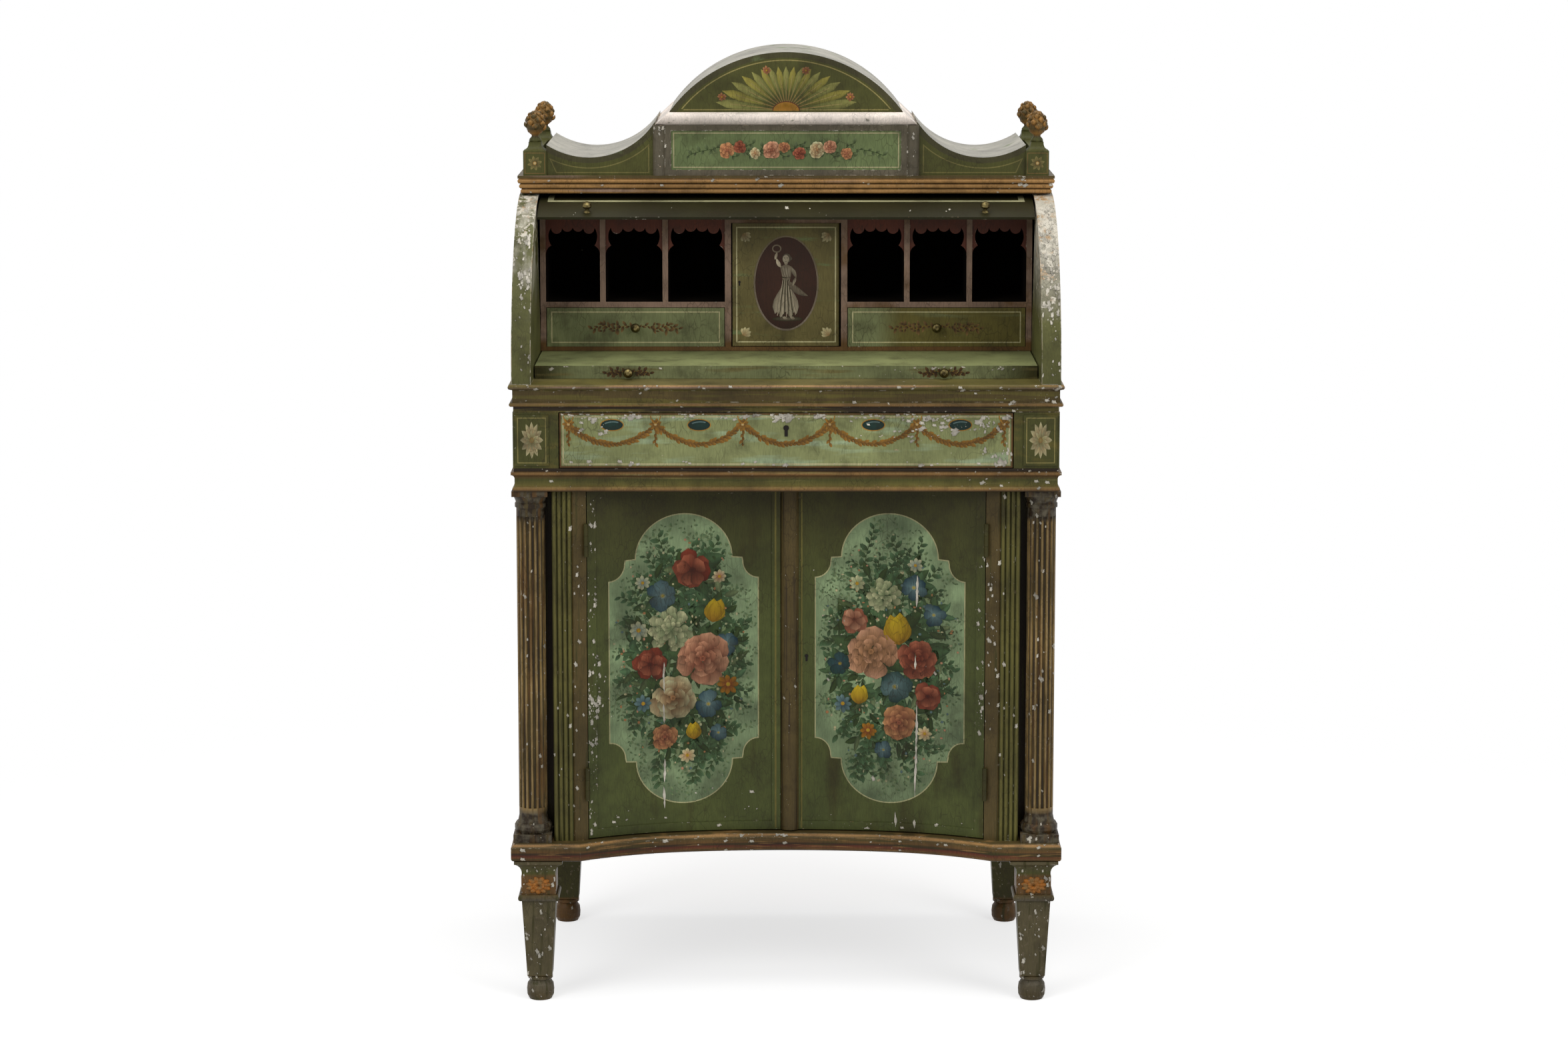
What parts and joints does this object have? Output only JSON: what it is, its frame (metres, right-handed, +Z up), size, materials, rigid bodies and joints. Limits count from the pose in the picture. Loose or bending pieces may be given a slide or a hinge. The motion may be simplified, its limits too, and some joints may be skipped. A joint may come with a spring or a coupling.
{
  "type": "cylinder desk",
  "caption": "Painted cylinder desk on tapered legs: swing fall over pigeonholes and writing slide, frieze drawer, concave doors between columns, dipped gallery with finials",
  "frame": {"origin": "centre of the footprint, on the floor under the feet", "axes": "+X to the desk's right as seen from the front, +Y to the back, +Z up"},
  "size_m": [0.776, 0.48, 1.3354],
  "materials": {
    "green_paint": "aged satin paint, worn at the edges",
    "brown_paint": "aged brown and gilt paint",
    "bare_wood": "bare aged softwood",
    "gilt_wood": "worn water gilding",
    "brass": "aged brass",
    "iron": "forged iron"
  },
  "bodies": {
    "case": {"base_board": "green_paint", "legs": "green_paint", "cupboard_side_left": "green_paint", "cupboard_side_right": "green_paint", "corner_blocks": "green_paint", "frieze_sides": "green_paint", "cylinder_side_left": "green_paint", "cylinder_side_right": "green_paint", "gallery_front": "green_paint", "gallery_back": "green_paint", "gallery_sides": "green_paint", "wing_covers": "green_paint", "lunette_boards": "green_paint", "lunette_cover": "green_paint", "gallery_panel": "green_paint", "gallery_pedestals": "green_paint", "columns": "brown_paint", "front_stile_left": "brown_paint", "front_stile_right": "brown_paint", "cupboard_top": "brown_paint", "desk_bed": "brown_paint", "top_board": "brown_paint", "gallery_ledge": "brown_paint", "nest_floor": "brown_paint", "nest_top": "brown_paint", "nest_ends": "brown_paint", "cell_walls": "brown_paint", "pigeonhole_partitions": "brown_paint", "small_drawer_shelves": "brown_paint", "pigeonhole_valances": "brown_paint", "cupboard_back": "bare_wood", "cupboard_shelf": "bare_wood", "drawer_guides": "bare_wood", "upper_back": "bare_wood", "nest_back": "bare_wood", "finials": "gilt_wood", "door_hinge_frame_leaves": "brass", "door_hinge_pins": "brass", "cell_door_pins": "brass", "fall_pivot_pins": "iron"},
    "left_door": {"door_left": "green_paint", "door_left_hinge_leaves": "brass"},
    "right_door": {"door_right": "green_paint", "door_right_hinge_leaves": "brass", "door_astragal": "brown_paint", "door_lock": "iron"},
    "frieze_drawer": {"drawer_front": "green_paint", "drawer_tray": "bare_wood", "drawer_lock": "iron"},
    "slide": {"writing_slide": "green_paint", "slide_knobs": "brass"},
    "fall": {"fall_shell": "green_paint", "fall_arms": "iron", "fall_knobs": "brass", "fall_lock": "iron"},
    "left_small_drawer": {"small_drawer_left": "green_paint", "small_drawer_left_knob": "brass"},
    "right_small_drawer": {"small_drawer_right": "green_paint", "small_drawer_right_knob": "brass"},
    "cell_door_leaf": {"cell_door": "green_paint"}
  },
  "joints": [
    {"name": "left_door_hinge", "type": "hinge", "parent": "case", "child": "left_door", "pos_m": [-0.28, -0.2165, 0.48], "axis": [0, 0, -1], "range_deg": [0, 105]},
    {"name": "right_door_hinge", "type": "hinge", "parent": "case", "child": "right_door", "pos_m": [0.28, -0.2165, 0.48], "axis": [0, 0, 1], "range_deg": [0, 105]},
    {"name": "frieze_drawer_slide", "type": "slide", "parent": "case", "child": "frieze_drawer", "axis": [0, -1, 0], "range_m": [0, 0.28]},
    {"name": "writing_slide_travel", "type": "slide", "parent": "case", "child": "slide", "axis": [0, -1, 0], "range_m": [0, 0.18]},
    {"name": "fall_swing", "type": "hinge", "parent": "case", "child": "fall", "pos_m": [0, 0.004, 0.894], "axis": [-1, 0, 0], "range_deg": [-66, 0]},
    {"name": "left_small_drawer_slide", "type": "slide", "parent": "case", "child": "left_small_drawer", "axis": [0, -1, 0], "range_m": [0, 0.12]},
    {"name": "right_small_drawer_slide", "type": "slide", "parent": "case", "child": "right_small_drawer", "axis": [0, -1, 0], "range_m": [0, 0.12]},
    {"name": "cell_door_hinge", "type": "hinge", "parent": "case", "child": "cell_door_leaf", "pos_m": [0.071, -0.005, 1.003], "axis": [0, 0, 1], "range_deg": [0, 90]}
  ]
}
